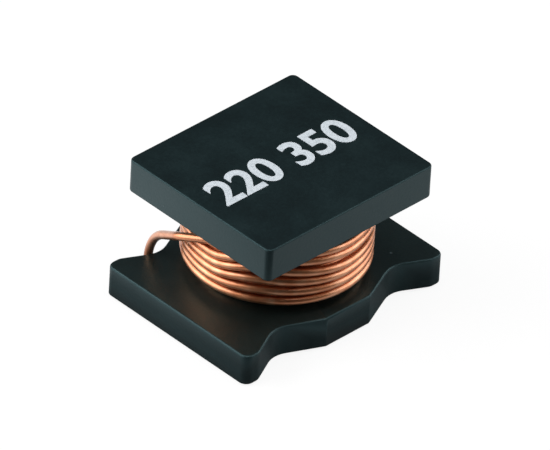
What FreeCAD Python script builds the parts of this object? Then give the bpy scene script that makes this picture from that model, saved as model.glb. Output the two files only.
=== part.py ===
import FreeCAD, Part
import Sketcher
import math
import os

# Wire-wound chip choke, surface mount. Millimetres, +Z up. X runs along the notched sides of the
# base, Y across them, and the origin is the centre of the footprint, on the board.
#
# How the real one is made: one ferrite drum, pressed and fired in one piece, with a notched base,
# a round post and an upper flange. Enamelled copper wire is wound on the post in layers. Both ends
# of the wire run down through notches of the base into grooves of its underside, where solder
# joins them to a metallised terminal at each end.

SIZES = {
    # Enamelled wire and how it lies.
    "wire_diameter": 0.15,
    "wire_flats": 12,
    "turn_gap": 0.004,
    "outer_turns": 6,
    "tight_turns": 4,
    "loose_gap": 0.08,
    "covered_layers": 4,
    "under_coil_gap": 0.195,
    "over_coil_gap": 0.155,
    "sleeve_end_gap": 0.02,
    # Drum core: the post, the upper flange and the base.
    "post_radius": 0.92,
    "top_length": 3.73,
    "top_width": 3.345,
    "top_thickness": 0.63,
    "top_edge_radius": 0.03,
    "top_corner_ease": 0.02,
    "base_thickness": 0.56,
    "base_edge_radius": 0.04,
    "base_corner_ease": 0.03,
    "leg_width": 3.36,
    "leg_land": 0.28,
    "tab_proud": 0.06,
    "tab_length": 0.98,
    "notch_depth": 0.32,
    "notch_run": 0.64,
    "notch_root_radius": 0.45,
    "notch_shoulder_radius": 0.25,
    # Leads: where they pass the notches, and how they bend.
    "root_inside_coil": 0.2,
    "lead_past_root": 0.08,
    "lead_wall_gap": 0.03,
    "lead_lift": 0.05,
    "lead_leave_run": 0.06,
    "lead_leave_radius": 0.2,
    "ride_out": 0.15,
    "ride_run": 0.6,
    "ride_drop": 0.17,
    "ride_radius": 0.4,
    "lead_slope": 33.0,
    "lead_rise_dip": 0.06,
    "lead_plumb_run": 0.05,
    "lead_rise_radius": 0.2,
    "lead_foot_radius": 0.18,
    # Underside: grooves, terminals and solder.
    "terminal_thickness": 0.04,
    "terminal_past_root": 0.33,
    "terminal_inset": 0.06,
    "terminal_corner_radius": 0.09,
    "groove_width": 0.24,
    "groove_roof_gap": 0.09,
    "groove_end": 0.7,
    "tail_end_gap": 0.1,
    "solder_back": 0.14,
}

# Sizes that follow from the ones above. Each formula is written once, here.
FORMULAS = {
    "pitch": "dims.wire_diameter + dims.turn_gap",
    "wire_radius": "dims.wire_diameter / 2",
    # The wire's flats enclose the same area as the round wire does.
    "flat_angle": "360 / dims.wire_flats",
    "flat_swell": "sqrt(2 * pi / (dims.wire_flats * sin(layout.flat_angle)))",
    "section_radius": "layout.wire_radius * layout.flat_swell",
    "layer_step": "layout.pitch * sin(60)",
    "coil_radius": "dims.post_radius + layout.wire_radius + dims.covered_layers * layout.layer_step",
    "sleeve_radius": "layout.coil_radius - layout.layer_step + layout.wire_radius",
    "stack_height": "(dims.outer_turns - 1) * layout.pitch + dims.wire_diameter + dims.loose_gap",
    "window": "dims.under_coil_gap + layout.stack_height + dims.over_coil_gap",
    "base_top": "dims.terminal_thickness + dims.base_thickness",
    "flange_low": "layout.base_top + layout.window",
    "first_turn": "layout.base_top + dims.under_coil_gap + layout.wire_radius",
    "tab_x": "dims.tab_length / 2",
    "leg_y": "dims.leg_width / 2",
    "tab_y": "layout.leg_y + dims.tab_proud",
    "base_corner_radius": "dims.base_edge_radius + dims.base_corner_ease",
    "top_corner_radius": "dims.top_edge_radius + dims.top_corner_ease",
    "root_x": "layout.coil_radius - dims.root_inside_coil",
    "root_y": "layout.leg_y - dims.notch_depth",
    "shoulder_x": "layout.root_x + dims.notch_run",
    "end_x": "layout.shoulder_x + dims.leg_land",
    "inner_slope": "(layout.tab_y - layout.root_y) / (layout.root_x - layout.tab_x)",
    "outer_slope": "dims.notch_depth / dims.notch_run",
    "wall_lean": "sqrt(1 + layout.outer_slope * layout.outer_slope)",
    "root_bend": "(atan(layout.inner_slope) + atan(layout.outer_slope)) / 1 deg",
    "root_fill": "dims.notch_root_radius * (1 / cos(layout.root_bend / 2) - 1)",
    "lead_x": "layout.root_x + dims.lead_past_root",
    "wall_at_lead": "layout.root_y + layout.root_fill + layout.outer_slope * dims.lead_past_root",
    "lead_y": "layout.wall_at_lead + (dims.lead_wall_gap + layout.wire_radius) * layout.wall_lean",
    "tail_y": "dims.groove_end + dims.tail_end_gap",
    "tail_z": "dims.terminal_thickness + layout.wire_radius",
    "last_turn": "layout.first_turn + (dims.outer_turns - 1) * layout.pitch",
    "lift_z": "layout.last_turn + dims.lead_lift",
    "ride_x": "layout.coil_radius + dims.ride_out",
    "ride_z": "layout.lift_z - dims.ride_drop",
    "knee_z": "layout.ride_z - tan(dims.lead_slope) * (layout.lead_y - dims.ride_run)",
    "plumb_room": "layout.knee_z - layout.tail_z - dims.lead_foot_radius - dims.lead_plumb_run",
    "slant_x": "layout.ride_x - layout.lead_x",
    "slant_y": "layout.lead_y - dims.ride_run",
    "slant_z": "layout.ride_z - layout.knee_z",
    "slant_run": "sqrt(layout.slant_x ^ 2 + layout.slant_y ^ 2 + layout.slant_z ^ 2)",
    # The bend into the notch takes what room there is, on its slanted run or on its plumb one.
    "drop_reach": "min(layout.plumb_room; layout.slant_run - dims.ride_radius)",
    "drop_radius": "layout.drop_reach / tan(45 - dims.lead_slope / 2)",
    "groove_roof": "layout.tail_z + layout.wire_radius + dims.groove_roof_gap",
    "groove_depth": "layout.groove_roof - dims.terminal_thickness",
    "terminal_x": "layout.root_x - dims.terminal_past_root",
    "pad_shoulder_radius": "dims.notch_shoulder_radius - dims.terminal_inset",
    "pad_root_radius": "dims.notch_root_radius + dims.terminal_inset",
    "solder_length": "layout.root_y - dims.solder_back - dims.groove_end",
}

# Places that agree to within this count as the same place.
CLOSE = 1e-4

doc = FreeCAD.newDocument("choke")


def make_sheet():
    """The driving dimensions, one to a row, each under its own name."""
    sheet = doc.addObject("Spreadsheet::Sheet", "dims")
    for row, (name, number) in enumerate(SIZES.items(), start=1):
        sheet.set(f"A{row}", name)
        sheet.set(f"B{row}", str(number))
        sheet.setAlias(f"B{row}", name)
    doc.recompute()
    return sheet


def make_layout():
    """The sizes that follow from the driving ones."""
    layout = doc.addObject("App::VarSet", "layout")
    for name, formula in FORMULAS.items():
        layout.addProperty("App::PropertyFloat", name, "sizes")
        layout.setExpression(name, formula)
    doc.recompute()
    return layout


dims = make_sheet()
layout = make_layout()


def plane_of(body, role):
    """A body's own origin plane, found by its role."""
    for feature in body.Origin.OriginFeatures:
        if feature.Role == role:
            return feature
    raise RuntimeError("no plane " + role)


def new_body(label):
    body = doc.addObject("PartDesign::Body", label)
    body.Label = label
    return body


def flat_sketch(body, name, height):
    """A sketch that lies level at a height given by a formula."""
    sketch = body.newObject("Sketcher::SketchObject", name)
    sketch.AttachmentSupport = [(plane_of(body, "XY_Plane"), "")]
    sketch.MapMode = "FlatFace"
    sketch.setExpression("AttachmentOffset.Base.z", height)
    return sketch


def add_polygon(sketch, corners):
    """A closed outline. Each corner is a pair of formulas, for its place along X and along Y."""
    first = sketch.GeometryCount
    count = len(corners)
    spots = []
    for index in range(count):
        turn = 2 * math.pi * index / count
        spots.append(FreeCAD.Vector(math.cos(turn), math.sin(turn), 0))
    for index in range(count):
        sketch.addGeometry(Part.LineSegment(spots[index], spots[(index + 1) % count]), False)
    for index in range(count):
        following = first + (index + 1) % count
        sketch.addConstraint(Sketcher.Constraint("Coincident", first + index, 2, following, 1))
    for index, (along_x, along_y) in enumerate(corners):
        for kind, formula in (("DistanceX", along_x), ("DistanceY", along_y)):
            start = spots[index].x if kind == "DistanceX" else spots[index].y
            place = Sketcher.Constraint(kind, -1, 1, first + index, 1, start)
            number = sketch.addConstraint(place)
            sketch.setExpression(f"Constraints[{number}]", formula)


def add_circle(sketch, radius):
    """A circle about the origin, its radius given by a formula."""
    circle = Part.Circle(FreeCAD.Vector(0, 0, 0), FreeCAD.Vector(0, 0, 1), 1)
    ring = sketch.addGeometry(circle, False)
    sketch.addConstraint(Sketcher.Constraint("Coincident", ring, 3, -1, 1))
    number = sketch.addConstraint(Sketcher.Constraint("Radius", ring, 1))
    sketch.setExpression(f"Constraints[{number}]", radius)


def pad(body, name, sketch, length):
    feature = body.newObject("PartDesign::Pad", name)
    feature.Profile = sketch
    feature.setExpression("Length", length)
    sketch.Visibility = False
    doc.recompute()
    return feature


def pocket_up(body, name, sketch, depth):
    """A cut that rises from its sketch. It must take material away."""
    before = body.Shape.Volume
    feature = body.newObject("PartDesign::Pocket", name)
    feature.Profile = sketch
    feature.Reversed = True
    feature.setExpression("Length", depth)
    doc.recompute()
    if body.Shape.Volume >= before:
        raise RuntimeError(name + " cuts nothing")
    return feature


def edges_where(shape, test):
    """Names of the edges whose middle and direction pass a test."""
    names = []
    for index, edge in enumerate(shape.Edges, start=1):
        middle = edge.valueAt((edge.FirstParameter + edge.LastParameter) / 2)
        if test(edge, middle):
            names.append(f"Edge{index}")
    return names


def round_edges(body, name, test, radius):
    """A fillet on the edges that pass the test, its radius given by a formula."""
    base = body.Tip
    names = edges_where(base.Shape, test)
    if not names:
        raise RuntimeError(name + " finds no edge")
    feature = body.newObject("PartDesign::Fillet", name)
    feature.Base = (base, names)
    feature.setExpression("Radius", radius)
    doc.recompute()
    return feature


def upright_at(places):
    """A test for upright edges at the given places (x, y), on either side of both axes."""
    def test(edge, middle):
        ends = edge.Vertexes
        if len(ends) != 2:
            return False
        lean = ends[1].Point - ends[0].Point
        if abs(lean.x) > CLOSE or abs(lean.y) > CLOSE:
            return False
        return any(abs(abs(middle.x) - x) < CLOSE and abs(abs(middle.y) - y) < CLOSE for x, y in places)
    return test


def level_at(height, beyond):
    """A test for level edges at a height that lie outside a radius about the post."""
    def test(edge, middle):
        ends_level = all(abs(end.Z - height) < CLOSE for end in edge.Vertexes)
        level = ends_level and abs(middle.z - height) < CLOSE
        return level and math.hypot(middle.x, middle.y) > beyond
    return test


def base_outline(inset):
    """A quarter of the notched outline, from the tab to the leg's corner, as pairs of formulas."""
    return [
        ("layout.tab_x", f"layout.tab_y - {inset}"),
        ("layout.root_x", f"layout.root_y - {inset}"),
        ("layout.shoulder_x", f"layout.leg_y - {inset}"),
        (f"layout.end_x - {inset}", f"layout.leg_y - {inset}"),
    ]


def all_round(quarter):
    """The four mirrored quarters of an outline, in order round the origin."""
    corners = []
    for side_x, side_y in ((1, 1), (-1, 1), (-1, -1), (1, -1)):
        part = quarter if side_x * side_y < 0 else list(reversed(quarter))
        for along_x, along_y in part:
            corners.append((f"{side_x} * ({along_x})", f"{side_y} * ({along_y})"))
    return corners


def rectangle(low_x, high_x, low_y, high_y):
    """The four corners of a rectangle from formulas for its sides."""
    return [(low_x, low_y), (high_x, low_y), (high_x, high_y), (low_x, high_y)]


def groove_rectangle(side):
    """The plan of one lead groove, from its blind end out through the notch wall."""
    middle = f"{side} * layout.lead_x"
    low_x = f"{middle} - dims.groove_width / 2"
    high_x = f"{middle} + dims.groove_width / 2"
    return rectangle(low_x, high_x, "dims.groove_end", "layout.leg_y")


def make_core():
    """The ferrite drum: notched base, round post and upper flange, pressed as one piece."""
    body = new_body("drum_core")

    outline = flat_sketch(body, "base_outline", "dims.terminal_thickness")
    add_polygon(outline, all_round(base_outline("0")))
    pad(body, "base", outline, "dims.base_thickness")
    leg_corner = (layout.end_x, layout.leg_y)
    shoulder = (layout.shoulder_x, layout.leg_y)
    root = (layout.root_x, layout.root_y)
    tab_corner = (layout.tab_x, layout.tab_y)
    round_edges(body, "notch_roots", upright_at([root]), "dims.notch_root_radius")
    round_edges(body, "notch_shoulders", upright_at([shoulder]), "dims.notch_shoulder_radius")
    round_edges(body, "leg_corners", upright_at([leg_corner]), "layout.base_corner_radius")
    round_edges(body, "tab_corners", upright_at([tab_corner]), "layout.base_corner_radius")
    rim = level_at(layout.base_top, dims.post_radius)
    round_edges(body, "base_rim", rim, "dims.base_edge_radius")

    ring = flat_sketch(body, "post_circle", "layout.base_top")
    add_circle(ring, "dims.post_radius")
    pad(body, "post", ring, "layout.window")

    square = flat_sketch(body, "top_outline", "layout.flange_low")
    half_x = "dims.top_length / 2"
    half_y = "dims.top_width / 2"
    add_polygon(square, rectangle(f"-({half_x})", half_x, f"-({half_y})", half_y))
    pad(body, "upper_flange", square, "dims.top_thickness")
    corner = (dims.top_length / 2, dims.top_width / 2)
    round_edges(body, "top_corners", upright_at([corner]), "layout.top_corner_radius")
    for name, height in (("top_rim", layout.flange_low + dims.top_thickness),
                         ("window_rim", layout.flange_low)):
        round_edges(body, name, level_at(height, dims.post_radius + CLOSE), "dims.top_edge_radius")

    grooves = flat_sketch(body, "groove_plan", "dims.terminal_thickness")
    for side in (1, -1):
        add_polygon(grooves, groove_rectangle(side))
    pocket_up(body, "lead_grooves", grooves, "layout.groove_depth")
    return body


def bent_path(corners, radii):
    """Straight runs through the corners, joined by tangent arcs of the given radii."""
    edges = []
    start = corners[0]
    for index, radius in enumerate(radii, start=1):
        corner = corners[index]
        back = (corners[index - 1] - corner).normalize()
        ahead = (corners[index + 1] - corner).normalize()
        half = back.getAngle(ahead) / 2
        reach = radius / math.tan(half)
        arc_start = corner + back * reach
        arc_end = corner + ahead * reach
        inward = (back + ahead).normalize()
        arc_middle = corner + inward * (radius / math.sin(half) - radius)
        edges.append(Part.makeLine(start, arc_start))
        edges.append(Part.Arc(arc_start, arc_middle, arc_end).toShape())
        start = arc_end
    edges.append(Part.makeLine(start, corners[-1]))
    return edges


def half_turn(start, end, side):
    """A half circle between two points on the X axis, bulging to one side along Y."""
    middle = (start + end) * 0.5
    radius = (end - start).Length / 2
    return Part.Arc(start, middle + FreeCAD.Vector(0, side * radius, 0), end).toShape()


def turn_heights():
    """Height of each outer turn on the right of the post and on its left.

    A turn lies level across the front and climbs one pitch across the back. After the tight
    turns the wire is a little loose on the right, and is drawn down again on the left. The last
    one lifts a little towards its lead, which rides over the turns below it."""
    heights = []
    for turn in range(int(dims.outer_turns)):
        left = layout.first_turn + turn * layout.pitch
        loose = dims.loose_gap if turn >= dims.tight_turns else 0
        heights.append((left + loose, left))
    heights[-1] = (heights[-1][0], layout.lift_z)
    return heights


def start_lead_path():
    """The middle line of the start lead, from its tail up to the first turn."""
    corners = [
        FreeCAD.Vector(layout.lead_x, layout.tail_y, layout.tail_z),
        FreeCAD.Vector(layout.lead_x, layout.lead_y, layout.tail_z),
        FreeCAD.Vector(layout.lead_x, layout.lead_y, layout.first_turn - dims.lead_rise_dip),
        FreeCAD.Vector(layout.coil_radius, dims.lead_leave_run, layout.first_turn),
        FreeCAD.Vector(layout.coil_radius, 0, layout.first_turn),
    ]
    return bent_path(corners, [dims.lead_foot_radius, dims.lead_rise_radius, dims.lead_leave_radius])


def outer_turns_path():
    """The middle line of the outer turns, from the end of one lead to the start of the other."""
    edges = []
    previous = None
    for right, left in turn_heights():
        right_point = FreeCAD.Vector(layout.coil_radius, 0, right)
        left_point = FreeCAD.Vector(-layout.coil_radius, 0, left)
        if previous is not None:
            edges.append(half_turn(previous, right_point, 1))
        edges.append(half_turn(right_point, left_point, -1))
        previous = left_point
    return edges


def finish_lead_path():
    """The middle line of the finish lead, from the last turn down to its tail."""
    corners = [
        FreeCAD.Vector(-layout.coil_radius, 0, layout.lift_z),
        FreeCAD.Vector(-layout.coil_radius, dims.lead_leave_run, layout.lift_z),
        FreeCAD.Vector(-layout.ride_x, dims.ride_run, layout.ride_z),
        FreeCAD.Vector(-layout.lead_x, layout.lead_y, layout.knee_z),
        FreeCAD.Vector(-layout.lead_x, layout.lead_y, layout.tail_z),
        FreeCAD.Vector(-layout.lead_x, layout.tail_y, layout.tail_z),
    ]
    bends = [dims.lead_leave_radius, dims.ride_radius, layout.drop_radius, dims.lead_foot_radius]
    return bent_path(corners, bends)


def make_winding():
    """One copper wire: both leads and the outer turns, on the layers that they cover.

    The covered layers can't be seen, so they are one plain sleeve on the post. The first turn
    is drawn straight from its lead, where the real wire goes down to the innermost layer."""
    path = doc.addObject("Part::Feature", "wire_path")
    path.Shape = Part.Wire(start_lead_path() + outer_turns_path() + finish_lead_path())

    section = doc.addObject("Part::RegularPolygon", "wire_section")
    section.setExpression("Polygon", "dims.wire_flats")
    section.setExpression("Circumradius", "layout.section_radius")
    section.Placement.Rotation = FreeCAD.Rotation(FreeCAD.Vector(1, 0, 0), 90)
    for axis, formula in (("x", "layout.lead_x"), ("y", "layout.tail_y"), ("z", "layout.tail_z")):
        section.setExpression("Placement.Base." + axis, formula)
    doc.recompute()

    wire = doc.addObject("Part::Sweep", "wire")
    wire.Sections = [section]
    wire.Spine = (path, [])
    wire.Solid = True
    doc.recompute()

    outer = doc.addObject("Part::Cylinder", "layers_outside")
    outer.setExpression("Radius", "layout.sleeve_radius")
    bore = doc.addObject("Part::Cylinder", "layers_bore")
    bore.setExpression("Radius", "dims.post_radius")
    for cylinder in (outer, bore):
        cylinder.setExpression("Height", "layout.window - 2 * dims.sleeve_end_gap")
        cylinder.setExpression("Placement.Base.z", "layout.base_top + dims.sleeve_end_gap")
    sleeve = doc.addObject("Part::Cut", "covered_layers")
    sleeve.Base = outer
    sleeve.Tool = bore

    winding = doc.addObject("Part::Fuse", "winding")
    winding.Label = "winding"
    winding.Base = sleeve
    winding.Tool = wire
    doc.recompute()
    return winding


def make_terminal(label, side):
    """The metallised pad under one end of the base, slotted where the lead groove crosses it."""
    body = new_body(label)
    plate = flat_sketch(body, label + "_plate", "0")
    start_y = "layout.root_y + layout.inner_slope * (layout.root_x - layout.terminal_x)"
    quarter = [("layout.terminal_x", f"{start_y} - dims.terminal_inset")]
    quarter += base_outline("dims.terminal_inset")[1:]
    corners = [(f"{side} * ({x})", f"-({y})") for x, y in quarter]
    corners += [(f"{side} * ({x})", y) for x, y in reversed(quarter)]
    add_polygon(plate, corners)
    pad(body, label + "_pad", plate, "dims.terminal_thickness")
    inset = dims.terminal_inset
    leg_corner = (layout.end_x - inset, layout.leg_y - inset)
    shoulder = (layout.shoulder_x, layout.leg_y - inset)
    root = (layout.root_x, layout.root_y - inset)
    round_edges(body, label + "_roots", upright_at([root]), "layout.pad_root_radius")
    round_edges(body, label + "_shoulders", upright_at([shoulder]), "layout.pad_shoulder_radius")
    round_edges(body, label + "_corners", upright_at([leg_corner]), "dims.terminal_corner_radius")

    slot = flat_sketch(body, label + "_slot", "0")
    add_polygon(slot, groove_rectangle(side))
    pocket_up(body, label + "_slotted", slot, "dims.terminal_thickness")
    return body


def make_solder(label, side, winding):
    """The solder that fills a groove round the tail of the wire, flush with the terminal."""
    fill = doc.addObject("Part::Box", label + "_fill")
    fill.setExpression("Length", "dims.groove_width")
    fill.setExpression("Width", "layout.solder_length")
    fill.setExpression("Height", "layout.groove_roof")
    fill.setExpression("Placement.Base.x", f"{side} * layout.lead_x - dims.groove_width / 2")
    fill.setExpression("Placement.Base.y", "dims.groove_end")
    joint = doc.addObject("Part::Cut", label)
    joint.Label = label
    joint.Base = fill
    joint.Tool = winding
    doc.recompute()
    return joint


def check_and_write(pieces):
    """Stop if any object failed. Then write one file for each piece."""
    for item in doc.Objects:
        if "Invalid" in item.State or "Error" in item.State:
            raise RuntimeError(item.Label + " failed")
    os.makedirs("parts", exist_ok=True)
    for piece in pieces:
        if piece.Shape.isNull() or not piece.Shape.isValid():
            raise RuntimeError(piece.Label + " has no valid shape")
        piece.Shape.exportStep(f"parts/{piece.Label}.step")
        print(piece.Label, "solids", len(piece.Shape.Solids), "volume", round(piece.Shape.Volume, 4))


drum_core = make_core()
winding = make_winding()
pieces = [drum_core, winding]
for ending, side in (("start", 1), ("finish", -1)):
    pieces.append(make_terminal("terminal_" + ending, side))
    pieces.append(make_solder("solder_" + ending, side, winding))
doc.recompute()
check_and_write(pieces)
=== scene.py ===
# %% [markdown]
# A wire-wound chip choke, 4.5 mm long. A ferrite drum, pressed and fired as one piece, has a
# notched base, a post and an upper flange. Enamelled copper wire is wound on the post, and its
# two ends go down through the notches to tinned terminals under the base.
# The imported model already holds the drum, the terminals and the solder at their real size. This
# script dresses them, wears the drum's upright corners a little rounder, and winds the wire again
# as a fine mesh, because the turns are what the eye goes to first.

# %% Load the frame
import math

import bmesh
import bpy
from mathutils import Matrix, Vector


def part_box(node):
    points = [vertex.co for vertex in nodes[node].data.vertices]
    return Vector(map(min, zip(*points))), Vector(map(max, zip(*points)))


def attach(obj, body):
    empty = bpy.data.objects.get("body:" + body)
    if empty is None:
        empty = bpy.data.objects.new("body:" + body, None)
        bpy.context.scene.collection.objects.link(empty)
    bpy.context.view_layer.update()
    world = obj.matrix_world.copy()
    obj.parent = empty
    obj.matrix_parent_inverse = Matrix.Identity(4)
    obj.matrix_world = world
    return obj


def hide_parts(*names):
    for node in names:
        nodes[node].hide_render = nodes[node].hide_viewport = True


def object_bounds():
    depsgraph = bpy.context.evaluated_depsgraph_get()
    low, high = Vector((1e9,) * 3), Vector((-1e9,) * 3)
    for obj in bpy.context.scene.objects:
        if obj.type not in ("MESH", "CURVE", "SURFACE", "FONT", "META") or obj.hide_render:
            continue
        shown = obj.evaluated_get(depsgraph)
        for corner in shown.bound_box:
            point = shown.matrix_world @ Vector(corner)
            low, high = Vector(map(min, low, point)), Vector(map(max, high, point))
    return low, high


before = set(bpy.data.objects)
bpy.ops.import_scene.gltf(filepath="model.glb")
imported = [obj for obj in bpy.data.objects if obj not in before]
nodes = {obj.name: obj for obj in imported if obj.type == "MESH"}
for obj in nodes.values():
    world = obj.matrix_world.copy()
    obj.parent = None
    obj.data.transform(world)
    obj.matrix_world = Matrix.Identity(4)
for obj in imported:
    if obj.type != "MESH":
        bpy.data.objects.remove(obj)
cad_box = [list(corner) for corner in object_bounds()]
print("pieces:", ", ".join(sorted(nodes)))

# %% [markdown]
# Sizes are written in millimetres, as on a drawing, and turned to metres by one factor. What can
# be read from the frame is read from it, so that the looks follow the model: the drum's height
# gives the place of the print, and the base's ferrite starts at the terminals' upper face. The
# window is the room between the base and the upper flange, which the wire fills.

# %% Read the sizes
MM = 0.001
BASE_THICKNESS = 0.56 * MM
TOP_THICKNESS = 0.63 * MM

core_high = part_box("drum_core")[1]
pad_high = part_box("terminal_start")[1]

TOP_Z = core_high.z
BASE_TOP = pad_high.z + BASE_THICKNESS
WINDOW_TOP = TOP_Z - TOP_THICKNESS
print("window from", round(BASE_TOP / MM, 3), "to", round(WINDOW_TOP / MM, 3), "mm")

# %% [markdown]
# The camera comes first, because everything after it is judged through it. The picture was taken
# from far away with a long lens, so parallel edges stay nearly parallel. It looks down at about
# 36 degrees on the corner between the long and the short side, with a small roll. A camera could
# be aimed by a constraint, but three directions written as a matrix hold the roll as well.

# %% Camera
PHOTO_WIDTH_PX = 550
PX_PER_MM = 60.94
SENSOR_MM = 36.0
LENS_MM = 800.0
CLIP_NEAR, CLIP_FAR = 0.1, 10

TO_CAMERA = Vector((-0.57456, -0.56228, 0.59475)).normalized()
PICTURE_RIGHT = Vector((0.72325, -0.68896, 0.04736)).normalized()
PICTURE_UP = TO_CAMERA.cross(PICTURE_RIGHT).normalized()

# The picture's centre, measured from the origin along the picture's own directions.
AIM_RIGHT = 0.015 * MM
AIM_UP = 1.033 * MM
middle = (Vector(cad_box[0]) + Vector(cad_box[1])) / 2
aim = PICTURE_RIGHT * AIM_RIGHT + PICTURE_UP * AIM_UP + TO_CAMERA * middle.dot(TO_CAMERA)

picture_width = PHOTO_WIDTH_PX / PX_PER_MM * MM
distance = LENS_MM / SENSOR_MM * picture_width

camera_data = bpy.data.cameras.new("camera")
camera_data.lens = LENS_MM
camera_data.sensor_width = SENSOR_MM
camera_data.clip_start = distance * CLIP_NEAR
camera_data.clip_end = distance * CLIP_FAR
camera = bpy.data.objects.new("camera", camera_data)
bpy.context.scene.collection.objects.link(camera)
turn = Matrix((PICTURE_RIGHT, PICTURE_UP, TO_CAMERA)).transposed()
camera.matrix_world = Matrix.Translation(aim + TO_CAMERA * distance) @ turn.to_4x4()
bpy.context.scene.camera = camera
bpy.context.scene.view_settings.view_transform = "Standard"
print("camera", round(distance / MM), "mm from the choke")

# %% [markdown]
# Every colour here is written as in a paint program, and Blender works in linear light, so one
# function turns the one to the other. Nodes could be placed by hand in the shader editor. Here
# one small function adds each of them with its settings and its links.

# %% Helpers for materials
# A Mix node repeats its sockets for numbers, vectors and colours. These are its colour ones.
MIX_SHARE, MIX_FIRST, MIX_SECOND, MIX_COLOUR = 0, 6, 7, 2


def linear(hex_colour):
    """A written sRGB colour as linear light."""
    values = []
    for start in (1, 3, 5):
        share = int(hex_colour[start:start + 2], 16) / 255
        if share <= 0.04045:
            values.append(share / 12.92)
        else:
            values.append(((share + 0.055) / 1.055) ** 2.4)
    return (*values, 1.0)


def add(tree, kind, settings=None, inputs=None, stops=()):
    """A node with its settings. An input is a value, or a socket that is linked to it. Stops
    are pairs of position and written colour, for a node that holds a colour ramp."""
    node = tree.nodes.new(kind)
    for name, value in (settings or {}).items():
        setattr(node, name, value)
    for name, value in (inputs or {}).items():
        if isinstance(value, bpy.types.NodeSocket):
            tree.links.new(value, node.inputs[name])
        else:
            node.inputs[name].default_value = value
    for _ in stops[2:]:
        node.color_ramp.elements.new(0.5)
    for index, (position, colour) in enumerate(stops):
        node.color_ramp.elements[index].position = position
        node.color_ramp.elements[index].color = linear(colour)
    return node


def new_material(name):
    """An empty material and its node tree."""
    material = bpy.data.materials.new(name)
    material.use_nodes = True
    material.node_tree.nodes.clear()
    return material, material.node_tree


print("a grey written #808080 is", round(linear("#808080")[0], 3), "in linear light")

# %% [markdown]
# The choke lies on white paper. Its ferrite and its wire mirror that paper, and what they mirror
# tells the choke's sides apart. What they mirror is painted. It has painted shade close to the
# choke, where the choke's own shadow would fall, and painted shade towards the front and the
# right. It has painted light on the left, as from a white card that isn't modelled. Cards could
# be modelled round the choke, but they would stand in the way of views from other sides. So the
# painted level is worked out from the place on the floor instead.

# %% What the floor shows in a mirror, with painted shade and painted card light
PAINTED_SHADE_NEAR_LEVEL = 0.14
MIRRORED_FAR = 0.95
PAINTED_SHADE_FADE = 1.3 * MM
PAINTED_CARD_LIGHT_SIDE = (-0.71, 0.71, 0.0)
PAINTED_CARDLESS_SHARE = 0.52
PAINTED_CARD_LIGHT_FADE = 3.0 * MM
PAINTED_FRONT_SHADE_SIDE = (-0.71, -0.71, 0.0)
PAINTED_FRONT_SHADE_SHARE = 0.05
PAINTED_FRONT_SHADE_FROM, PAINTED_FRONT_SHADE_TO = 1.2 * MM, 5.2 * MM


def painted_shade_mirror_level(tree):
    """How bright a place on the floor looks in the ferrite and the wire: painted shade near the
    choke and towards the front and right, and painted card light on the left.
    """
    place = add(tree, "ShaderNodeTexCoord").outputs["Object"]
    folded = add(tree, "ShaderNodeVectorMath", {"operation": "ABSOLUTE"}, {0: place})
    past = add(tree, "ShaderNodeVectorMath", {"operation": "SUBTRACT"},
               {0: folded.outputs[0], 1: (core_high.x, core_high.y, 0.0)})
    outside = add(tree, "ShaderNodeVectorMath", {"operation": "MAXIMUM"},
                  {0: past.outputs[0], 1: (0.0, 0.0, 0.0)})
    away = add(tree, "ShaderNodeVectorMath", {"operation": "LENGTH"}, {0: outside.outputs[0]})
    card = add(tree, "ShaderNodeVectorMath", {"operation": "DOT_PRODUCT"},
               {0: place, 1: PAINTED_CARD_LIGHT_SIDE})
    front = add(tree, "ShaderNodeVectorMath", {"operation": "DOT_PRODUCT"},
                {0: place, 1: PAINTED_FRONT_SHADE_SIDE})
    # painted shade near the base, painted card light on the left, and painted shade at the front
    fades = (
        # what is measured, where the fade starts and ends, and the level at each end
        (away, 0.0, PAINTED_SHADE_FADE, PAINTED_SHADE_NEAR_LEVEL, MIRRORED_FAR),
        (card, -PAINTED_CARD_LIGHT_FADE, PAINTED_CARD_LIGHT_FADE, PAINTED_CARDLESS_SHARE, 1.0),
        (front, PAINTED_FRONT_SHADE_FROM, PAINTED_FRONT_SHADE_TO, 1.0, PAINTED_FRONT_SHADE_SHARE),
    )
    level = 1.0
    for measured, start, end, at_start, at_end in fades:
        fade = add(tree, "ShaderNodeMapRange", {"interpolation_type": "SMOOTHSTEP"},
                   {"Value": measured.outputs["Value"], "From Min": start, "From Max": end,
                    "To Min": at_start, "To Max": at_end})
        level = add(tree, "ShaderNodeMath", {"operation": "MULTIPLY"},
                    {0: level, 1: fade.outputs["Result"]}).outputs[0]
    return level


print("the mirrored floor fades over", round(PAINTED_SHADE_FADE / MM, 1), "mm round the base")

# %% [markdown]
# The paper runs out past the picture on all sides. More lamps could make it white, but they
# would bleach the copper too. So to the camera it is white by its own colour, with just enough
# of it left to the lamps that the soft shadow under the choke still shows.

# %% Floor
FLOOR_HALF = 60 * MM
FLOOR_Z = -0.001 * MM
FLOOR_OWN_WHITE = 0.88
FLOOR_LIT_COLOUR = "#747474"


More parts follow.
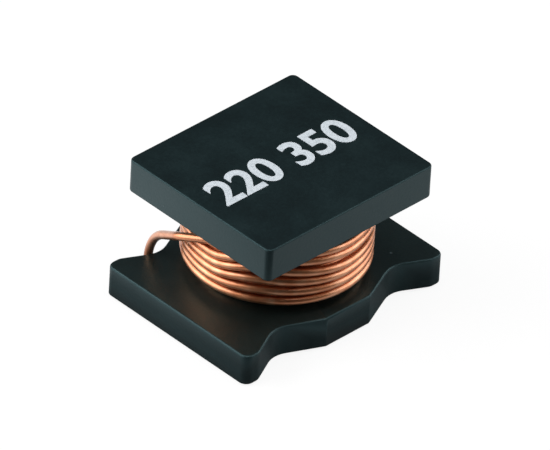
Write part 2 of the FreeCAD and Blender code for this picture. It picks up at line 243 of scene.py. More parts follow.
def make_floor():
    """White paper, a hair below the choke so that no two faces share a plane."""
    mesh = bpy.data.meshes.new("floor")
    corners = [(x * FLOOR_HALF, y * FLOOR_HALF, FLOOR_Z)
               for x, y in ((-1, -1), (1, -1), (1, 1), (-1, 1))]
    mesh.from_pydata(corners, [], [(0, 1, 2, 3)])
    floor = bpy.data.objects.new("floor", mesh)
    bpy.context.scene.collection.objects.link(floor)
    material, tree = new_material("white_paper_with_painted_shade")
    path = add(tree, "ShaderNodeLightPath")
    in_mirror = add(tree, "ShaderNodeMath", {"operation": "MAXIMUM"},
                    {0: path.outputs["Is Glossy Ray"], 1: path.outputs["Is Transmission Ray"]})
    # what the ferrite and the wire mirror: the paper with its painted shade and painted card
    # light
    mirrored = add(tree, "ShaderNodeMath", {"operation": "MULTIPLY"},
                   {0: in_mirror.outputs[0], 1: painted_shade_mirror_level(tree)})
    strength = add(tree, "ShaderNodeMath", {"operation": "MULTIPLY_ADD"},
                   {0: path.outputs["Is Camera Ray"], 1: FLOOR_OWN_WHITE,
                    2: mirrored.outputs[0]})
    own = add(tree, "ShaderNodeEmission",
              inputs={"Color": (1, 1, 1, 1), "Strength": strength.outputs[0]})
    lit = add(tree, "ShaderNodeBsdfDiffuse", inputs={"Color": linear(FLOOR_LIT_COLOUR)})
    both = add(tree, "ShaderNodeAddShader", inputs={0: own.outputs[0], 1: lit.outputs[0]})
    add(tree, "ShaderNodeOutputMaterial", inputs={"Surface": both.outputs[0]})
    mesh.materials.append(material)


make_floor()
print("floor", round(2 * FLOOR_HALF / MM), "mm square")

# %% [markdown]
# Two soft lamps stand low, far out to the left and to the right of the camera, so that the coil
# shines at its two sides and stays deep brown at its front. A third one hangs above, where the
# upper flange shades the coil from it. One big lamp would be simpler, but it would light the
# coil's front as well. The sky is dim and bluish, because the ferrite's upper faces are dull
# mirrors of it: a little lighter behind the choke, and nearly black in front.

# %% Lamps and sky
LAMPS = (
    # name, bearing and height in degrees, distance, width, level of a white sheet that faces it
    ("lamp_left", 139, 24, 60 * MM, 62 * MM, 1.15),
    ("lamp_right", -33, 21, 60 * MM, 50 * MM, 0.56),
    ("lamp_above", -135, 84, 70 * MM, 50 * MM, 0.38),
)
SKY_COLOUR = "#e4f1f6"
SKY_BEHIND = 0.10
SKY_IN_FRONT = 0.03
BEHIND = (0.71, 0.70, 0.0)
SKY_FADE_FROM, SKY_FADE_TO = -0.3, 0.8


def make_lamp(name, bearing, height, far, width, level):
    """A square lamp that faces the choke. A lamp's energy spreads with the distance squared."""
    data = bpy.data.lights.new(name, "AREA")
    data.shape = "SQUARE"
    data.size = width
    data.energy = level * math.pi ** 2 * far ** 2
    lamp = bpy.data.objects.new(name, data)
    bpy.context.scene.collection.objects.link(lamp)
    turned, raised = math.radians(bearing), math.radians(height)
    way = Vector((math.cos(raised) * math.cos(turned), math.cos(raised) * math.sin(turned),
                  math.sin(raised)))
    facing = way.to_track_quat("Z", "Y").to_matrix().to_4x4()
    lamp.matrix_world = Matrix.Translation(way * far) @ facing


def make_sky():
    """A dim sky that is lighter behind the choke than in front of it."""
    world = bpy.data.worlds.new("studio")
    bpy.context.scene.world = world
    world.use_nodes = True
    tree = world.node_tree
    tree.nodes.clear()
    way = add(tree, "ShaderNodeTexCoord")
    back = add(tree, "ShaderNodeVectorMath", {"operation": "DOT_PRODUCT"},
               {0: way.outputs["Generated"], 1: BEHIND})
    level = add(tree, "ShaderNodeMapRange", {"interpolation_type": "SMOOTHSTEP"},
                {"Value": back.outputs["Value"], "From Min": SKY_FADE_FROM,
                 "From Max": SKY_FADE_TO, "To Min": SKY_IN_FRONT, "To Max": SKY_BEHIND})
    sky = add(tree, "ShaderNodeBackground",
              inputs={"Color": linear(SKY_COLOUR), "Strength": level.outputs["Result"]})
    add(tree, "ShaderNodeOutputWorld", inputs={"Surface": sky.outputs[0]})


for row in LAMPS:
    make_lamp(*row)
make_sky()
print(len(LAMPS), "lamps and a dim sky")

# %% [markdown]
# Nickel-zinc ferrite is a fired ceramic: powder is pressed in a die, fired, and tumbled with
# others of its kind. Its black has a slight blue-green cast, which its gloss shares. A picture
# could be wrapped round the drum for its grain, but noise that is worked out in space needs no
# seams. Two noises are mixed: the grain, a few hundredths of a millimetre across and drawn
# coarser than it is so that it shows at all, and broad clouds from uneven firing.

# %% Ferrite's grain
GRAIN = 0.05 * MM
GRAIN_DETAIL, GRAIN_RAGGEDNESS = 3.0, 0.6
CLOUD = 0.6 * MM
CLOUD_DETAIL, CLOUD_RAGGEDNESS = 4.0, 0.55
GRAIN_PART, CLOUD_PART = 0.4, 0.6


def ferrite_grain(tree, place):
    """The grain by itself, and the grain mixed with the clouds."""
    grain = add(tree, "ShaderNodeTexNoise", {"noise_dimensions": "3D"},
                {"Vector": place, "Scale": 1 / GRAIN, "Detail": GRAIN_DETAIL,
                 "Roughness": GRAIN_RAGGEDNESS})
    cloud = add(tree, "ShaderNodeTexNoise", {"noise_dimensions": "3D"},
                {"Vector": place, "Scale": 1 / CLOUD, "Detail": CLOUD_DETAIL,
                 "Roughness": CLOUD_RAGGEDNESS})
    fine = add(tree, "ShaderNodeMath", {"operation": "MULTIPLY"},
               {0: grain.outputs["Fac"], 1: GRAIN_PART})
    mixed = add(tree, "ShaderNodeMath", {"operation": "MULTIPLY_ADD"},
                {0: cloud.outputs["Fac"], 1: CLOUD_PART, 2: fine.outputs[0]})
    return grain.outputs["Fac"], mixed.outputs[0]


print("grain of", round(GRAIN / MM, 3), "mm, clouds of", round(CLOUD / MM, 3), "mm")

# %% [markdown]
# Here and there a grain has broken out and left a pale speck. Specks could be drawn one by one,
# but a Voronoi texture cuts space into cells, gives each cell a random colour and tells how far
# its middle is, so one node both draws lots for the cells and draws the speck in the middle.

# %% Grains that have broken out
CHIP_SPACING = 0.5 * MM
CHIP_SIZE = 0.035 * MM
CHIP_FLOOR_SHARE = 0.6
CHIPPED_CELLS = 0.22
CHIP_SHIFT = (0.0, 0.22 * MM, 0.12 * MM)


def ferrite_chips(tree, place):
    """1 where a grain has broken out, 0 elsewhere."""
    shifted = add(tree, "ShaderNodeVectorMath", {"operation": "ADD"}, {0: place, 1: CHIP_SHIFT})
    cell = add(tree, "ShaderNodeTexVoronoi", {"feature": "F1"},
               {"Vector": shifted.outputs[0], "Scale": 1 / CHIP_SPACING})
    edge = CHIP_SIZE / CHIP_SPACING
    spot = add(tree, "ShaderNodeMapRange",
               inputs={"Value": cell.outputs["Distance"], "From Min": edge * CHIP_FLOOR_SHARE,
                       "From Max": edge, "To Min": 1.0, "To Max": 0.0})
    lot = add(tree, "ShaderNodeSeparateColor", inputs={"Color": cell.outputs["Color"]})
    drawn = add(tree, "ShaderNodeMath", {"operation": "LESS_THAN"},
                {0: lot.outputs["Red"], 1: CHIPPED_CELLS})
    chip = add(tree, "ShaderNodeMath", {"operation": "MULTIPLY"},
               {0: spot.outputs["Result"], 1: drawn.outputs[0]})
    return chip.outputs[0]


print("a grain is out in", round(100 * CHIPPED_CELLS), "of 100 cells")

# %% [markdown]
# Tumbling can't reach the base's upper face, so that face keeps the smoother skin that pressing
# left. The rounded edges take most of the tumbling and are the dullest. Each could be painted on
# by hand, but both follow from the surface's own direction: the skin lies where it is level and
# low, and on an edge the height of the normal lies between 0 and 1, which a ping-pong picks out.
# The same mask also carries painted light, which lifts the colour of the base's upper face as if
# more light fell there.

# %% Pressed skin with painted light, and tumbled edges
TUMBLED_ROUGHNESS = 0.32
SKIN_ROUGHNESS = 0.26
UNEVEN_ROUGHNESS = 0.20
EDGE_DULLNESS = 0.30
EDGE_MIDWAY = 0.5
LEVEL_FROM, LEVEL_TO = 0.5, 0.95
SKIN_AND_PAINTED_LIGHT_BELOW = 1.0 * MM


def ferrite_finish_and_painted_light_mask(tree, place, normal, mixed):
    """Where the pressed skin lies, which also takes painted light, and how rough the surface is.
    """
    upright = add(tree, "ShaderNodeSeparateXYZ", inputs={"Vector": normal}).outputs["Z"]
    level = add(tree, "ShaderNodeMapRange", {"interpolation_type": "SMOOTHSTEP"},
                {"Value": upright, "From Min": LEVEL_FROM, "From Max": LEVEL_TO,
                 "To Min": 0.0, "To Max": 1.0})
    height = add(tree, "ShaderNodeSeparateXYZ", inputs={"Vector": place}).outputs["Z"]
    low = add(tree, "ShaderNodeMath", {"operation": "LESS_THAN"}, {0: height, 1: SKIN_AND_PAINTED_LIGHT_BELOW})
    skin_and_painted_top_light = add(tree, "ShaderNodeMath", {"operation": "MULTIPLY"},
               {0: level.outputs["Result"], 1: low.outputs[0]}).outputs[0]
    broad = add(tree, "ShaderNodeMapRange",
                inputs={"Value": skin_and_painted_top_light, "To Min": TUMBLED_ROUGHNESS, "To Max": SKIN_ROUGHNESS})
    uneven = add(tree, "ShaderNodeMath", {"operation": "MULTIPLY_ADD"},
                 {0: mixed, 1: UNEVEN_ROUGHNESS, 2: broad.outputs["Result"]})
    tilt = add(tree, "ShaderNodeMath", {"operation": "ABSOLUTE"}, {0: upright})
    edge = add(tree, "ShaderNodeMath", {"operation": "PINGPONG"},
               {0: tilt.outputs[0], 1: EDGE_MIDWAY})
    roughness = add(tree, "ShaderNodeMath", {"operation": "MULTIPLY_ADD"},
                    {0: edge.outputs[0], 1: EDGE_DULLNESS / EDGE_MIDWAY, 2: uneven.outputs[0]})
    return skin_and_painted_top_light, roughness.outputs[0]


print("skin lies below", round(SKIN_AND_PAINTED_LIGHT_BELOW / MM, 3), "mm")

# %% [markdown]
# The finish is put together from these. Ferrite bends light more than glass or plastic does, so
# its IOR is high, which makes the satin sheen strong for so dark a surface. Painted light is
# added to the tone where the skin lies. It makes the base's upper face a little warmer and
# lighter, as if more light fell on it.

# %% Ferrite
FERRITE_DARK = "#060b0c"
FERRITE_MID = "#091213"
FERRITE_LIGHT = "#0f191a"
# painted light, added to the colour of the base's upper face
FERRITE_PAINTED_TOP_LIGHT = "#141714"
FERRITE_CHIPPED = "#56656a"
FERRITE_GLOSS = "#b0e2ea"
FERRITE_IOR = 1.8
GRAIN_RELIEF = 0.28
GRAIN_DEPTH_SHARE = 0.2


def make_ferrite():
    material, tree = new_material("fired_ferrite")
    coordinates = add(tree, "ShaderNodeTexCoord").outputs
    place = coordinates["Object"]
    grain, mixed = ferrite_grain(tree, place)
    chip = ferrite_chips(tree, place)
    skin_and_painted_top_light, roughness = ferrite_finish_and_painted_light_mask(tree, place, coordinates["Normal"], mixed)
    tone = add(tree, "ShaderNodeValToRGB", inputs={"Fac": mixed},
               stops=[(0.38, FERRITE_DARK), (0.5, FERRITE_MID), (0.62, FERRITE_LIGHT)])
    # painted light added to the tone where the skin lies
    painted_top_light_tone = add(tree, "ShaderNodeMix", {"data_type": "RGBA", "blend_type": "ADD"},
                  {MIX_SHARE: skin_and_painted_top_light, MIX_FIRST: tone.outputs["Color"],
                   MIX_SECOND: linear(FERRITE_PAINTED_TOP_LIGHT)})
    colour = add(tree, "ShaderNodeMix", {"data_type": "RGBA"},
                 {MIX_SHARE: chip, MIX_FIRST: painted_top_light_tone.outputs[MIX_COLOUR],
                  MIX_SECOND: linear(FERRITE_CHIPPED)})
    sunk = add(tree, "ShaderNodeMath", {"operation": "SUBTRACT"}, {0: grain, 1: chip})
    bump = add(tree, "ShaderNodeBump",
               inputs={"Height": sunk.outputs[0], "Strength": GRAIN_RELIEF,
                       "Distance": GRAIN * GRAIN_DEPTH_SHARE})
    surface = add(tree, "ShaderNodeBsdfPrincipled",
                  inputs={"Base Color": colour.outputs[MIX_COLOUR], "Roughness": roughness,
                          "IOR": FERRITE_IOR, "Specular Tint": linear(FERRITE_GLOSS),
                          "Normal": bump.outputs[0]})
    add(tree, "ShaderNodeOutputMaterial", inputs={"Surface": surface.outputs[0]})
    return material


ferrite = make_ferrite()
print("ferrite of", len(ferrite.node_tree.nodes), "nodes")

# %% [markdown]
# The drum keeps the solid's shape, but tumbling has worn its upright corners rounder than the
# solid draws them. A Bevel modifier could round a sharp corner, but these are arcs already. So
# each of their points moves out to a wider arc, at the same bearing and the same depth below
# the surface.

# %% Worn corners
UPRIGHT_CORNERS = (
    # half length, half width, radius in the solid, worn radius, lowest and highest height, in mm
    (1.865, 1.6725, 0.05, 0.11, 1.9, 2.6),
    (2.2485, 1.68, 0.07, 0.15, 0.0, 0.6),
)
SAME_PLACE_MM = 0.0005


def worn_place(x, y, z):
    """Where a point of the solid lies on the worn drum, in millimetres."""
    for half_length, half_width, radius, worn, low, high in UPRIGHT_CORNERS:
        if max(abs(x) - half_length, abs(y) - half_width) > SAME_PLACE_MM or not low <= z <= high:
            continue
        across, along = abs(x) - (half_length - radius), abs(y) - (half_width - radius)
        reach = math.hypot(across, along)
        if min(across, along) <= -SAME_PLACE_MM or reach < SAME_PLACE_MM:
            continue
        wider = (worn - radius + reach) / reach
        return (math.copysign(half_length - worn + across * wider, x),
                math.copysign(half_width - worn + along * wider, y), z)
    return x, y, z


print("corners worn to", " and ".join(str(row[3]) for row in UPRIGHT_CORNERS), "mm")

# %% [markdown]
# The solid arrives as loose triangles, which Blender can't shade smoothly, so a copy of them is
# merged first. Faces that meet at a wide angle keep a sharp edge. Normals that are weighted by
# face area keep the flat faces flat to the eye, where plain smooth shading would make them look
# puffed up.

# %% Drum core
MERGE_WITHIN = 1e-4 * MM
SHARP_FROM = math.radians(32)


def make_drum():
    """The drum as one plain mesh with worn corners."""
    shell = bmesh.new()
    shell.from_mesh(nodes["drum_core"].data)
    bmesh.ops.remove_doubles(shell, verts=shell.verts, dist=MERGE_WITHIN)
    moved = 0
    for vertex in shell.verts:
        place = Vector(worn_place(*(vertex.co / MM))) * MM
        moved += (place - vertex.co).length > SAME_PLACE_MM * MM
        vertex.co = place
    mesh = bpy.data.meshes.new("drum_worn")
    shell.to_mesh(mesh)
    shell.free()
    mesh.shade_smooth()
    mesh.set_sharp_from_angle(angle=SHARP_FROM)
    carrier = bpy.data.objects.new("drum_carrier", mesh)
    bpy.context.scene.collection.objects.link(carrier)
    carrier.modifiers.new("weighted", "WEIGHTED_NORMAL").keep_sharp = True
    evaluated = carrier.evaluated_get(bpy.context.evaluated_depsgraph_get())
    finished = bpy.data.meshes.new_from_object(evaluated)
    bpy.data.objects.remove(carrier)
    finished.materials.clear()
    finished.materials.append(ferrite)
    piece = bpy.data.objects.new("ferrite_drum", finished)
    bpy.context.scene.collection.objects.link(piece)
    print(moved, "points of", len(finished.vertices), "moved to the worn corners")
    return piece


drum = make_drum()
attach(drum, "root")
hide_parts("drum_core")

# %% [markdown]
# The terminals are silver fired onto the ferrite and plated with matte tin: a pale warm grey
# with a fine grain. The solder joints are the same metal, melted: smoother, brighter, and
# gently rippled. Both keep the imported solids' shapes, which need no finer mesh, so only their
# material is new. One function makes both, because they differ only in numbers.

# %% Tin and solder
TIN_COLOUR = "#b9b8b2"
SOLDER_COLOUR = "#c2c3c4"
RIPPLE_DETAIL = 3.0
RIPPLE_DEPTH_SHARE = 0.2
TIN_FINISHES = {
    # piece: material's name, colour, width of a ripple, roughness, strength of the relief
    "terminal": ("matte_tin_plating", TIN_COLOUR, 0.04 * MM, 0.45, 0.3),
    "solder": ("reflowed_solder", SOLDER_COLOUR, 0.2 * MM, 0.28, 0.5),
}


def make_tin(name, colour, ripple, roughness, relief):
    """A tin surface with ripples of the given size."""
    material, tree = new_material(name)
    place = add(tree, "ShaderNodeTexCoord")
    waves = add(tree, "ShaderNodeTexNoise", {"noise_dimensions": "3D"},
                {"Vector": place.outputs["Object"], "Scale": 1 / ripple,
                 "Detail": RIPPLE_DETAIL})
    bump = add(tree, "ShaderNodeBump",
               inputs={"Height": waves.outputs["Fac"], "Strength": relief,
                       "Distance": ripple * RIPPLE_DEPTH_SHARE})
    surface = add(tree, "ShaderNodeBsdfPrincipled",
                  inputs={"Base Color": linear(colour), "Metallic": 1.0,
                          "Roughness": roughness, "Normal": bump.outputs[0]})
    add(tree, "ShaderNodeOutputMaterial", inputs={"Surface": surface.outputs[0]})
    return material


for metal_piece, finish in TIN_FINISHES.items():
    tin = make_tin(*finish)
    for ending in ("start", "finish"):
        mesh = nodes[metal_piece + "_" + ending].data
        mesh.materials.clear()
        mesh.materials.append(tin)
print("terminals and solder dressed")

# %% [markdown]
# The winding is one wire. A spiral from the curve tools would be perfectly even, and a real
# winding isn't, so its middle line is worked out point by point. Each turn climbs to the next
# across the back, as on a real winder. At the right the turns lie close, with one looser step,
# and at the front left they have spread. So each turn has its height written for three bearings
# and runs smoothly from one to the next.

# %% The outer turns' middle line
WIRE_RADIUS = 0.075 * MM
COIL_RADIUS = 1.52847 * MM
TURN_PITCH = 0.154 * MM
STEPS_PER_TURN = 96

# Height of each turn in mm at the right, at the front left and at the left, and the degrees
# swept from the right until the height begins to change, is that of the front, and the left.
RIGHT_HEIGHTS = (0.87, 1.03, 1.19, 1.35, 1.59, 1.75)
FRONT_HEIGHTS = (0.88, 1.08, 1.29, 1.50, 1.70, 1.855)
LEFT_HEIGHTS = (0.87, 1.024, 1.178, 1.332, 1.486, 1.69)
RIGHT_UNTIL, FRONT_AT, LEFT_AT = 80, 146, 180


def eased(share):
    """A smooth step from 0 to 1."""
    share = min(max(share, 0.0), 1.0)
    return share * share * (3 - 2 * share)


def turn_height(turn, swept):
    """Height of an outer turn after it has swept so many degrees from the right."""
    right, front, left = RIGHT_HEIGHTS[turn], FRONT_HEIGHTS[turn], LEFT_HEIGHTS[turn]
    if swept <= FRONT_AT:
        share = eased((swept - RIGHT_UNTIL) / (FRONT_AT - RIGHT_UNTIL))
        return (right + (front - right) * share) * MM
    if swept <= LEFT_AT:
        share = eased((swept - FRONT_AT) / (LEFT_AT - FRONT_AT))
        return (front + (left - front) * share) * MM
    share = eased((swept - LEFT_AT) / (360 - LEFT_AT))
    return (left + (RIGHT_HEIGHTS[turn + 1] - left) * share) * MM


def outer_layer_points():
    """Points of the outer turns. The last turn ends half way round, at the left."""
    points = []
    for step in range(1, STEPS_PER_TURN * len(RIGHT_HEIGHTS) - STEPS_PER_TURN // 2):
        turn, part = divmod(step, STEPS_PER_TURN)
        angle = -2 * math.pi * part / STEPS_PER_TURN
        points.append(Vector((COIL_RADIUS * math.cos(angle), COIL_RADIUS * math.sin(angle),
                              turn_height(turn, 360 * part / STEPS_PER_TURN))))
    return points


outer_points = outer_layer_points()
print("outer turns of", len(outer_points), "points")

# %% [markdown]
# The two leads are bent runs: straight pieces with an arc at each bend. A smooth curve through a
# few points would be quicker, but real wire bends in arcs. The corners are those of the solid.
# The finish lead first rides out over the turns that climb under it, and then drops in a wide
# arc to the notch, close to the wall that leads it down.

# %% The leads' middle lines
ARC_POINTS = 14
LEAD_X = 1.40847
LEAD_Y = 1.56585
TAIL_Y = 0.80
TAIL_Z = 0.115
COIL_X = COIL_RADIUS / MM
START_CORNERS = ((LEAD_X, TAIL_Y, TAIL_Z), (LEAD_X, LEAD_Y, TAIL_Z), (LEAD_X, LEAD_Y, 0.81),
                 (COIL_X, 0.06, RIGHT_HEIGHTS[0]), (COIL_X, 0, RIGHT_HEIGHTS[0]))
START_RADII = (0.18, 0.2, 0.2)
FINISH_CORNERS = ((-COIL_X, 0, LEFT_HEIGHTS[-1]), (-COIL_X, 0.06, LEFT_HEIGHTS[-1]),
                  (-1.6785, 0.6, 1.52), (-LEAD_X, LEAD_Y, 0.893), (-LEAD_X, LEAD_Y, TAIL_Z),
                  (-LEAD_X, TAIL_Y, TAIL_Z))
FINISH_RADII = (0.2, 0.4, 1.01, 0.18)


def bent_run(corners, radii):
    """Points of a bent run of wire, from corners and radii in millimetres."""
    corners = [Vector(corner) * MM for corner in corners]
    points = [corners[0]]
    for index, radius_mm in enumerate(radii, start=1):
        radius = radius_mm * MM
        corner = corners[index]
        back = (corners[index - 1] - corner).normalized()
        ahead = (corners[index + 1] - corner).normalized()
        half = back.angle(ahead) / 2
        centre = corner + (back + ahead).normalized() * (radius / math.sin(half))
        start = corner + back * (radius / math.tan(half)) - centre
        end = corner + ahead * (radius / math.tan(half)) - centre
        for step in range(ARC_POINTS + 1):
            points.append(centre + start.slerp(end, step / ARC_POINTS) * radius)
    points.append(corners[-1])
    return points


wire_points = (bent_run(START_CORNERS, START_RADII) + outer_points
               + bent_run(FINISH_CORNERS, FINISH_RADII))
print("whole wire of", len(wire_points), "points")

# %% [markdown]
# Under the outer turns lie the layers that they cover. Only the last of them shows, in the gap
# beside the loose turn and above and below the coil. All could be wound, but the eye would never
# meet them, so only that one is. It lies deeper by the height of a triangle of touching wires,
# as wires do that settle into each other's valleys. Its first turn lies flat on the base and
# comes out from behind the turn after it, so no cut end shows.

# %% The covered layer's middle line
VALLEY_ANGLE = math.radians(60)
LAYER_STEP = TURN_PITCH * math.sin(VALLEY_ANGLE)
COVERED_RADIUS = COIL_RADIUS - LAYER_STEP
COVERED_GAP = 0.02 * MM
COVERED_FIRST_Z = BASE_TOP + COVERED_GAP + WIRE_RADIUS
COVERED_TURNS = int((WINDOW_TOP - COVERED_FIRST_Z - WIRE_RADIUS) / TURN_PITCH)


def covered_layer_points():
    """Points of the covered turns: one flat turn, and then turns that climb one pitch each."""
    points = []
    for step in range((COVERED_TURNS + 1) * STEPS_PER_TURN + 1):
        turn, part = divmod(step, STEPS_PER_TURN)
        quarter = math.pi / 2 * part / STEPS_PER_TURN
        radius, height = COVERED_RADIUS, COVERED_FIRST_Z
        if turn == 0:
            radius -= TURN_PITCH * math.cos(quarter)
        else:
            height += TURN_PITCH * (turn - 1 + math.sin(quarter))
        angle = -4 * quarter
        points.append(Vector((radius * math.cos(angle), radius * math.sin(angle), height)))
    return points


covered_points = covered_layer_points()
print(COVERED_TURNS, "covered turns")

# %% [markdown]
# The wire has to be drawn round its middle line. A curve with a bevel depth would do it, but a
# small geometry-nodes tree says it step by step, and its radius and number of sides are inputs
# with names, so the same tree serves both layers. It sweeps a round section along whatever line
# it is given. The result is made a plain mesh, with nothing left live on it.

# %% A tree that sweeps a round wire
WIRE_SIDES = 20


def make_wire_tree():
    tree = bpy.data.node_groups.new("sweep_round_wire", "GeometryNodeTree")
    for name, kind in (("Line", "Geometry"), ("Wire Radius", "Float"), ("Sides", "Int"),
                       ("Finish", "Material")):
        tree.interface.new_socket(name, in_out="INPUT", socket_type="NodeSocket" + kind)
    tree.interface.new_socket("Wire", in_out="OUTPUT", socket_type="NodeSocketGeometry")
    given = add(tree, "NodeGroupInput")
    line = add(tree, "GeometryNodeMeshToCurve", inputs={"Mesh": given.outputs["Line"]})
    ring = add(tree, "GeometryNodeCurvePrimitiveCircle", {"mode": "RADIUS"},
               {"Resolution": given.outputs["Sides"], "Radius": given.outputs["Wire Radius"]})
    tube = add(tree, "GeometryNodeCurveToMesh",
               inputs={"Curve": line.outputs[0], "Profile Curve": ring.outputs[0],
                       "Fill Caps": True})
    smooth = add(tree, "GeometryNodeSetShadeSmooth", inputs={"Geometry": tube.outputs[0]})
    real = add(tree, "GeometryNodeRealizeInstances", inputs={"Geometry": smooth.outputs[0]})
    dressed = add(tree, "GeometryNodeSetMaterial",
                  inputs={"Geometry": real.outputs[0], "Material": given.outputs["Finish"]})
    add(tree, "NodeGroupOutput", inputs={"Wire": dressed.outputs[0]})
    return tree


wire_tree = make_wire_tree()
print("wire tree of", len(wire_tree.nodes), "nodes")

# %% [markdown]
# Magnet wire is drawn copper under a clear enamel a few microns thick. The copper is a warm
# orange metal. The enamel deepens it and lays a second, sharper gloss over it, which a clear
# coat gives. A coloured plastic would look painted. Small waves from the winder's guide break
# up the reflection. At the two tails the enamel is burnt off and the wire is tinned, up to the
# bend where it enters the base.

# %% Enamelled copper
COPPER_DARK = "#c97c52"
COPPER_MID = "#db9064"
COPPER_LIGHT = "#e8a880"
COPPER_ROUGHNESS = 0.40
ENAMEL = {"Coat Weight": 0.8, "Coat Roughness": 0.22, "Coat IOR": 1.55}
WAVE = 0.25 * MM
WAVE_DETAIL = 3.0
WAVE_RELIEF = 0.15
WAVE_DEPTH_SHARE = 0.1
TINNED_BELOW = 0.2 * MM
TINNED_FADE = 0.08 * MM


def make_copper():
    material, tree = new_material("enamelled_copper_wire")
    place = add(tree, "ShaderNodeTexCoord").outputs["Object"]
    waves = add(tree, "ShaderNodeTexNoise", {"noise_dimensions": "3D"},
                {"Vector": place, "Scale": 1 / WAVE, "Detail": WAVE_DETAIL})
    tone = add(tree, "ShaderNodeValToRGB", inputs={"Fac": waves.outputs["Fac"]},
               stops=[(0.3, COPPER_DARK), (0.5, COPPER_MID), (0.7, COPPER_LIGHT)])
    height = add(tree, "ShaderNodeSeparateXYZ", inputs={"Vector": place}).outputs["Z"]
    tinned = add(tree, "ShaderNodeMapRange",
                 inputs={"Value": height, "From Min": TINNED_BELOW,
                         "From Max": TINNED_BELOW + TINNED_FADE, "To Min": 1.0, "To Max": 0.0})
    colour = add(tree, "ShaderNodeMix", {"data_type": "RGBA"},
                 {MIX_SHARE: tinned.outputs["Result"], MIX_FIRST: tone.outputs["Color"],
                  MIX_SECOND: linear(SOLDER_COLOUR)})
    bump = add(tree, "ShaderNodeBump",
               inputs={"Height": waves.outputs["Fac"], "Strength": WAVE_RELIEF,
                       "Distance": WAVE * WAVE_DEPTH_SHARE})
    surface = add(tree, "ShaderNodeBsdfPrincipled",
                  inputs={"Base Color": colour.outputs[MIX_COLOUR], "Metallic": 1.0,
                          "Roughness": COPPER_ROUGHNESS, "Normal": bump.outputs[0], **ENAMEL})
    add(tree, "ShaderNodeOutputMaterial", inputs={"Surface": surface.outputs[0]})
    return material


copper = make_copper()
print("copper of", len(copper.node_tree.nodes), "nodes")

# %% [markdown]
# Now the tree is put on each middle line. A modifier's inputs are set by their identifiers,
# because two inputs could share a name, and they are set before the object is first evaluated.
# The outer wire takes the place of the plain winding. The covered turns go with it.

# %% Wind the wire


def input_of(tree, name):
    """The identifier of a tree's input."""
    for item in tree.interface.items_tree:
        if item.item_type == "SOCKET" and item.in_out == "INPUT" and item.name == name:
            return item.identifier
    raise KeyError(name)


def draw_wire(name, points):
    """A plain mesh of round wire along the points."""
    line = bpy.data.meshes.new(name + "_line")
    line.from_pydata(points, [(i, i + 1) for i in range(len(points) - 1)], [])
    carrier = bpy.data.objects.new(name + "_line", line)
    bpy.context.scene.collection.objects.link(carrier)
    modifier = carrier.modifiers.new("wire", "NODES")
    modifier.node_group = wire_tree
    modifier[input_of(wire_tree, "Wire Radius")] = WIRE_RADIUS
    modifier[input_of(wire_tree, "Sides")] = WIRE_SIDES
    modifier[input_of(wire_tree, "Finish")] = copper
    evaluated = carrier.evaluated_get(bpy.context.evaluated_depsgraph_get())
    mesh = bpy.data.meshes.new_from_object(evaluated)
    mesh.name = name
    bpy.data.objects.remove(carrier)
    piece = bpy.data.objects.new(name, mesh)
    bpy.context.scene.collection.objects.link(piece)
    return piece


outer_wire = draw_wire("outer_turns_and_leads", wire_points)
covered_wire = draw_wire("covered_turns", covered_points)
for piece in (outer_wire, covered_wire):
    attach(piece, "root")
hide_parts("winding")
print("wire of", sum(len(p.data.polygons) for p in (outer_wire, covered_wire)), "faces")

# %% [markdown]
# White ink is printed on top with a soft pad. It is matte, and a little thinner where it sank
# into the grain. A picture of the digits could be laid on the face, but a mesh stays sharp from
# near by.

# %% Ink
INK = "#e3ebf2"
INK_THIN = "#cfd9e0"
INK_ROUGHNESS = 0.6
SPECKLE_DETAIL = 2.0


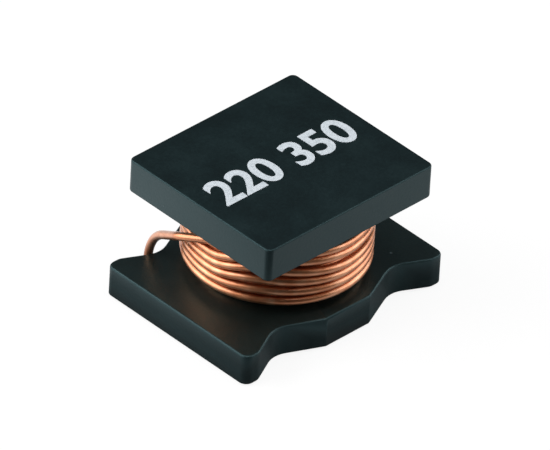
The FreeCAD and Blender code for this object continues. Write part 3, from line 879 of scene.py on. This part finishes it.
def make_ink():
    material, tree = new_material("white_pad_printing_ink")
    place = add(tree, "ShaderNodeTexCoord")
    speckle = add(tree, "ShaderNodeTexNoise", {"noise_dimensions": "3D"},
                  {"Vector": place.outputs["Object"], "Scale": 1 / GRAIN,
                   "Detail": SPECKLE_DETAIL})
    tone = add(tree, "ShaderNodeValToRGB", inputs={"Fac": speckle.outputs["Fac"]},
               stops=[(0.3, INK_THIN), (0.55, INK)])
    surface = add(tree, "ShaderNodeBsdfPrincipled",
                  inputs={"Base Color": tone.outputs["Color"], "Roughness": INK_ROUGHNESS})
    add(tree, "ShaderNodeOutputMaterial", inputs={"Surface": surface.outputs[0]})
    return material


ink = make_ink()
print("ink of", len(ink.node_tree.nodes), "nodes")

# %% [markdown]
# The print is a plain number. Its digits are set as text, made heavier by an offset of their
# outline and made a mesh. The mesh is then drawn in to the length and height that the print has
# and to a thickness of a few microns, and laid along the flange. The order matters: text that is
# moved before it is a mesh would be left off the origin.

# %% Print on the top
PRINT_TEXT = "220 350"
PRINT_SIZE = (3.05 * MM, 0.69 * MM, 0.006 * MM)
PRINT_WEIGHT = 0.022
TEXT_DEPTH = 0.5  # of no effect on the print, whose thickness is set afterwards


def make_print():
    text = bpy.data.curves.new("print", "FONT")
    text.body = PRINT_TEXT
    text.offset = PRINT_WEIGHT
    text.extrude = TEXT_DEPTH
    holder = bpy.data.objects.new("print_text", text)
    bpy.context.scene.collection.objects.link(holder)
    evaluated = holder.evaluated_get(bpy.context.evaluated_depsgraph_get())
    mesh = bpy.data.meshes.new_from_object(evaluated)
    bpy.data.objects.remove(holder)
    low = [min(vertex.co[axis] for vertex in mesh.vertices) for axis in range(3)]
    high = [max(vertex.co[axis] for vertex in mesh.vertices) for axis in range(3)]
    scale = [size / (high[axis] - low[axis]) for axis, size in enumerate(PRINT_SIZE)]
    middle_of_text = Vector([(low[axis] + high[axis]) / 2 for axis in range(3)])
    mesh.transform(Matrix.Diagonal((*scale, 1.0)) @ Matrix.Translation(-middle_of_text))
    mesh.transform(Matrix.Translation((0, 0, TOP_Z + PRINT_SIZE[2] / 2)))
    mesh.materials.clear()
    mesh.materials.append(ink)
    piece = bpy.data.objects.new("value_print", mesh)
    bpy.context.scene.collection.objects.link(piece)
    return piece


value_print = make_print()
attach(value_print, "root")
print("print of", len(value_print.data.polygons), "faces")
